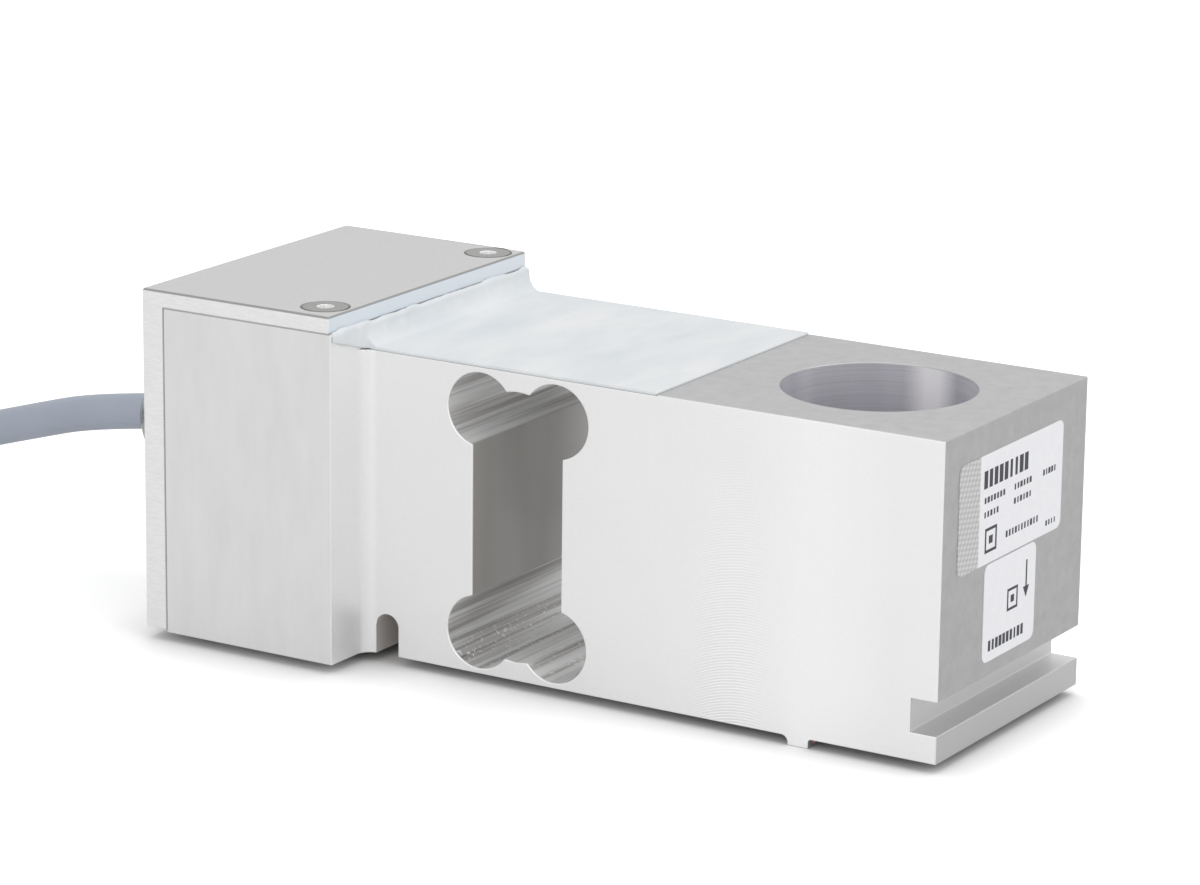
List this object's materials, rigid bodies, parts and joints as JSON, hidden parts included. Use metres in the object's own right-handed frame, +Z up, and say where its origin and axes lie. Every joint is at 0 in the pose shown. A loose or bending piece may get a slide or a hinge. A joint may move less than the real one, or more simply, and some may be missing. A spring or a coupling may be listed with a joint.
{
  "type": "single point load cell",
  "caption": "Off-centre load cell: a machined beam with a binocular window, a covered head on one end with a cable gland, and a round load bore on the other.",
  "frame": {"origin": "bottom centre of the cell without its cable and gland, on the plane that the stop rib stands on", "axes": "+X from the cable end along the beam to the load end, +Z up, -Y towards the side on which the head overhangs the beam"},
  "size_m": [0.4096, 0.0624, 0.0627],
  "materials": {
    "machined_aluminium": "fine machined, satin",
    "cover_plate": "fine machined, satin",
    "seal_rubber": "matt",
    "screw_steel": "bright",
    "plated_brass": "nickel plated, semi-bright",
    "gland_rubber": "matt",
    "cable_jacket": "soft satin, blue-grey",
    "core_plastic": "satin, one colour each",
    "board_laminate": "satin",
    "spacer_brass": "satin",
    "tinned_brass": "satin",
    "resistor_body": "gloss",
    "lead_ribbon": "satin",
    "silicone": "soft satin, white",
    "gauge_foil": "satin",
    "label_film": "satin",
    "sealing_lacquer": "gloss",
    "tie_nylon": "satin"
  },
  "bodies": {
    "root": {"spring_body": "machined_aluminium", "head_cover": "cover_plate", "cover_seal": "seal_rubber", "cover_screws": "screw_steel", "gland_body": "plated_brass", "gland_nut": "plated_brass", "gland_bush": "gland_rubber", "gland_seal_ring": "gland_rubber", "cable_inlet": "cable_jacket", "cable_cores": "core_plastic", "circuit_board": "board_laminate", "board_spacers": "spacer_brass", "board_screws": "screw_steel", "board_pins": "tinned_brass", "trim_resistors": "resistor_body", "top_leads": "lead_ribbon", "low_leads": "lead_ribbon", "top_coating": "silicone", "low_coating": "silicone", "rating_label": "label_film", "serial_label": "label_film", "seal_dab": "sealing_lacquer", "cable": "cable_jacket", "cable_hank": "cable_jacket", "cable_tie_front": "tie_nylon", "cable_tie_back": "tie_nylon", "end_cores": "core_plastic", "core_ferrules": "tinned_brass", "strain_gauge_1": "gauge_foil", "strain_gauge_2": "gauge_foil", "strain_gauge_3": "gauge_foil", "strain_gauge_4": "gauge_foil"}
  },
  "joints": []
}
